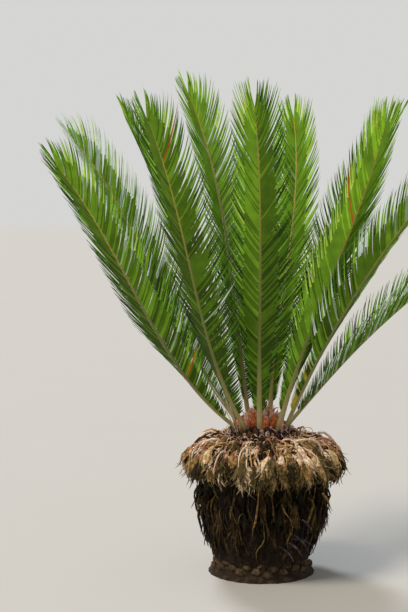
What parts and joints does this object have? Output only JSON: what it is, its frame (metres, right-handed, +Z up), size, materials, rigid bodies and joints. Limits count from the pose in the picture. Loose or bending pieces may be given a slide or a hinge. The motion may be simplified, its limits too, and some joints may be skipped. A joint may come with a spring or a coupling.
{
  "type": "sago palm",
  "caption": "Young sago palm with a stout trunk, a skirt of dried woolly scales round it, a woolly orange heart and a flaring crown of stiff feather fronds.",
  "frame": {"origin": "centre of the flat cut under the trunk, at ground level", "axes": "+Z up along the trunk, -Y towards the viewer of the picture, +X to that viewer's right"},
  "size_m": [1.7147, 1.19, 1.7964],
  "materials": {
    "trunk": "rough bark of old leaf bases",
    "heart": "woolly, stands in for young scales",
    "skirt_upper": "dry, matt, stands in for dried scales",
    "skirt_lower": "dry, dark, stands in for weathered scales",
    "frond": "glossy leaf, stands in for green leaflets"
  },
  "bodies": {
    "root": {"trunk": "trunk", "crown_heart": "heart", "skirt_upper_01": "skirt_upper", "skirt_upper_02": "skirt_upper", "skirt_upper_03": "skirt_upper", "skirt_upper_04": "skirt_upper", "skirt_upper_05": "skirt_upper", "skirt_upper_06": "skirt_upper", "skirt_upper_07": "skirt_upper", "skirt_upper_08": "skirt_upper", "skirt_lower_01": "skirt_lower", "skirt_lower_02": "skirt_lower", "skirt_lower_03": "skirt_lower", "skirt_lower_04": "skirt_lower", "skirt_lower_05": "skirt_lower", "skirt_lower_06": "skirt_lower", "skirt_lower_07": "skirt_lower", "skirt_lower_08": "skirt_lower", "frond_01": "frond", "frond_02": "frond", "frond_03": "frond", "frond_04": "frond", "frond_05": "frond", "frond_06": "frond", "frond_07": "frond", "frond_08": "frond", "frond_09": "frond", "frond_10": "frond", "frond_11": "frond", "frond_12": "frond"}
  },
  "joints": []
}
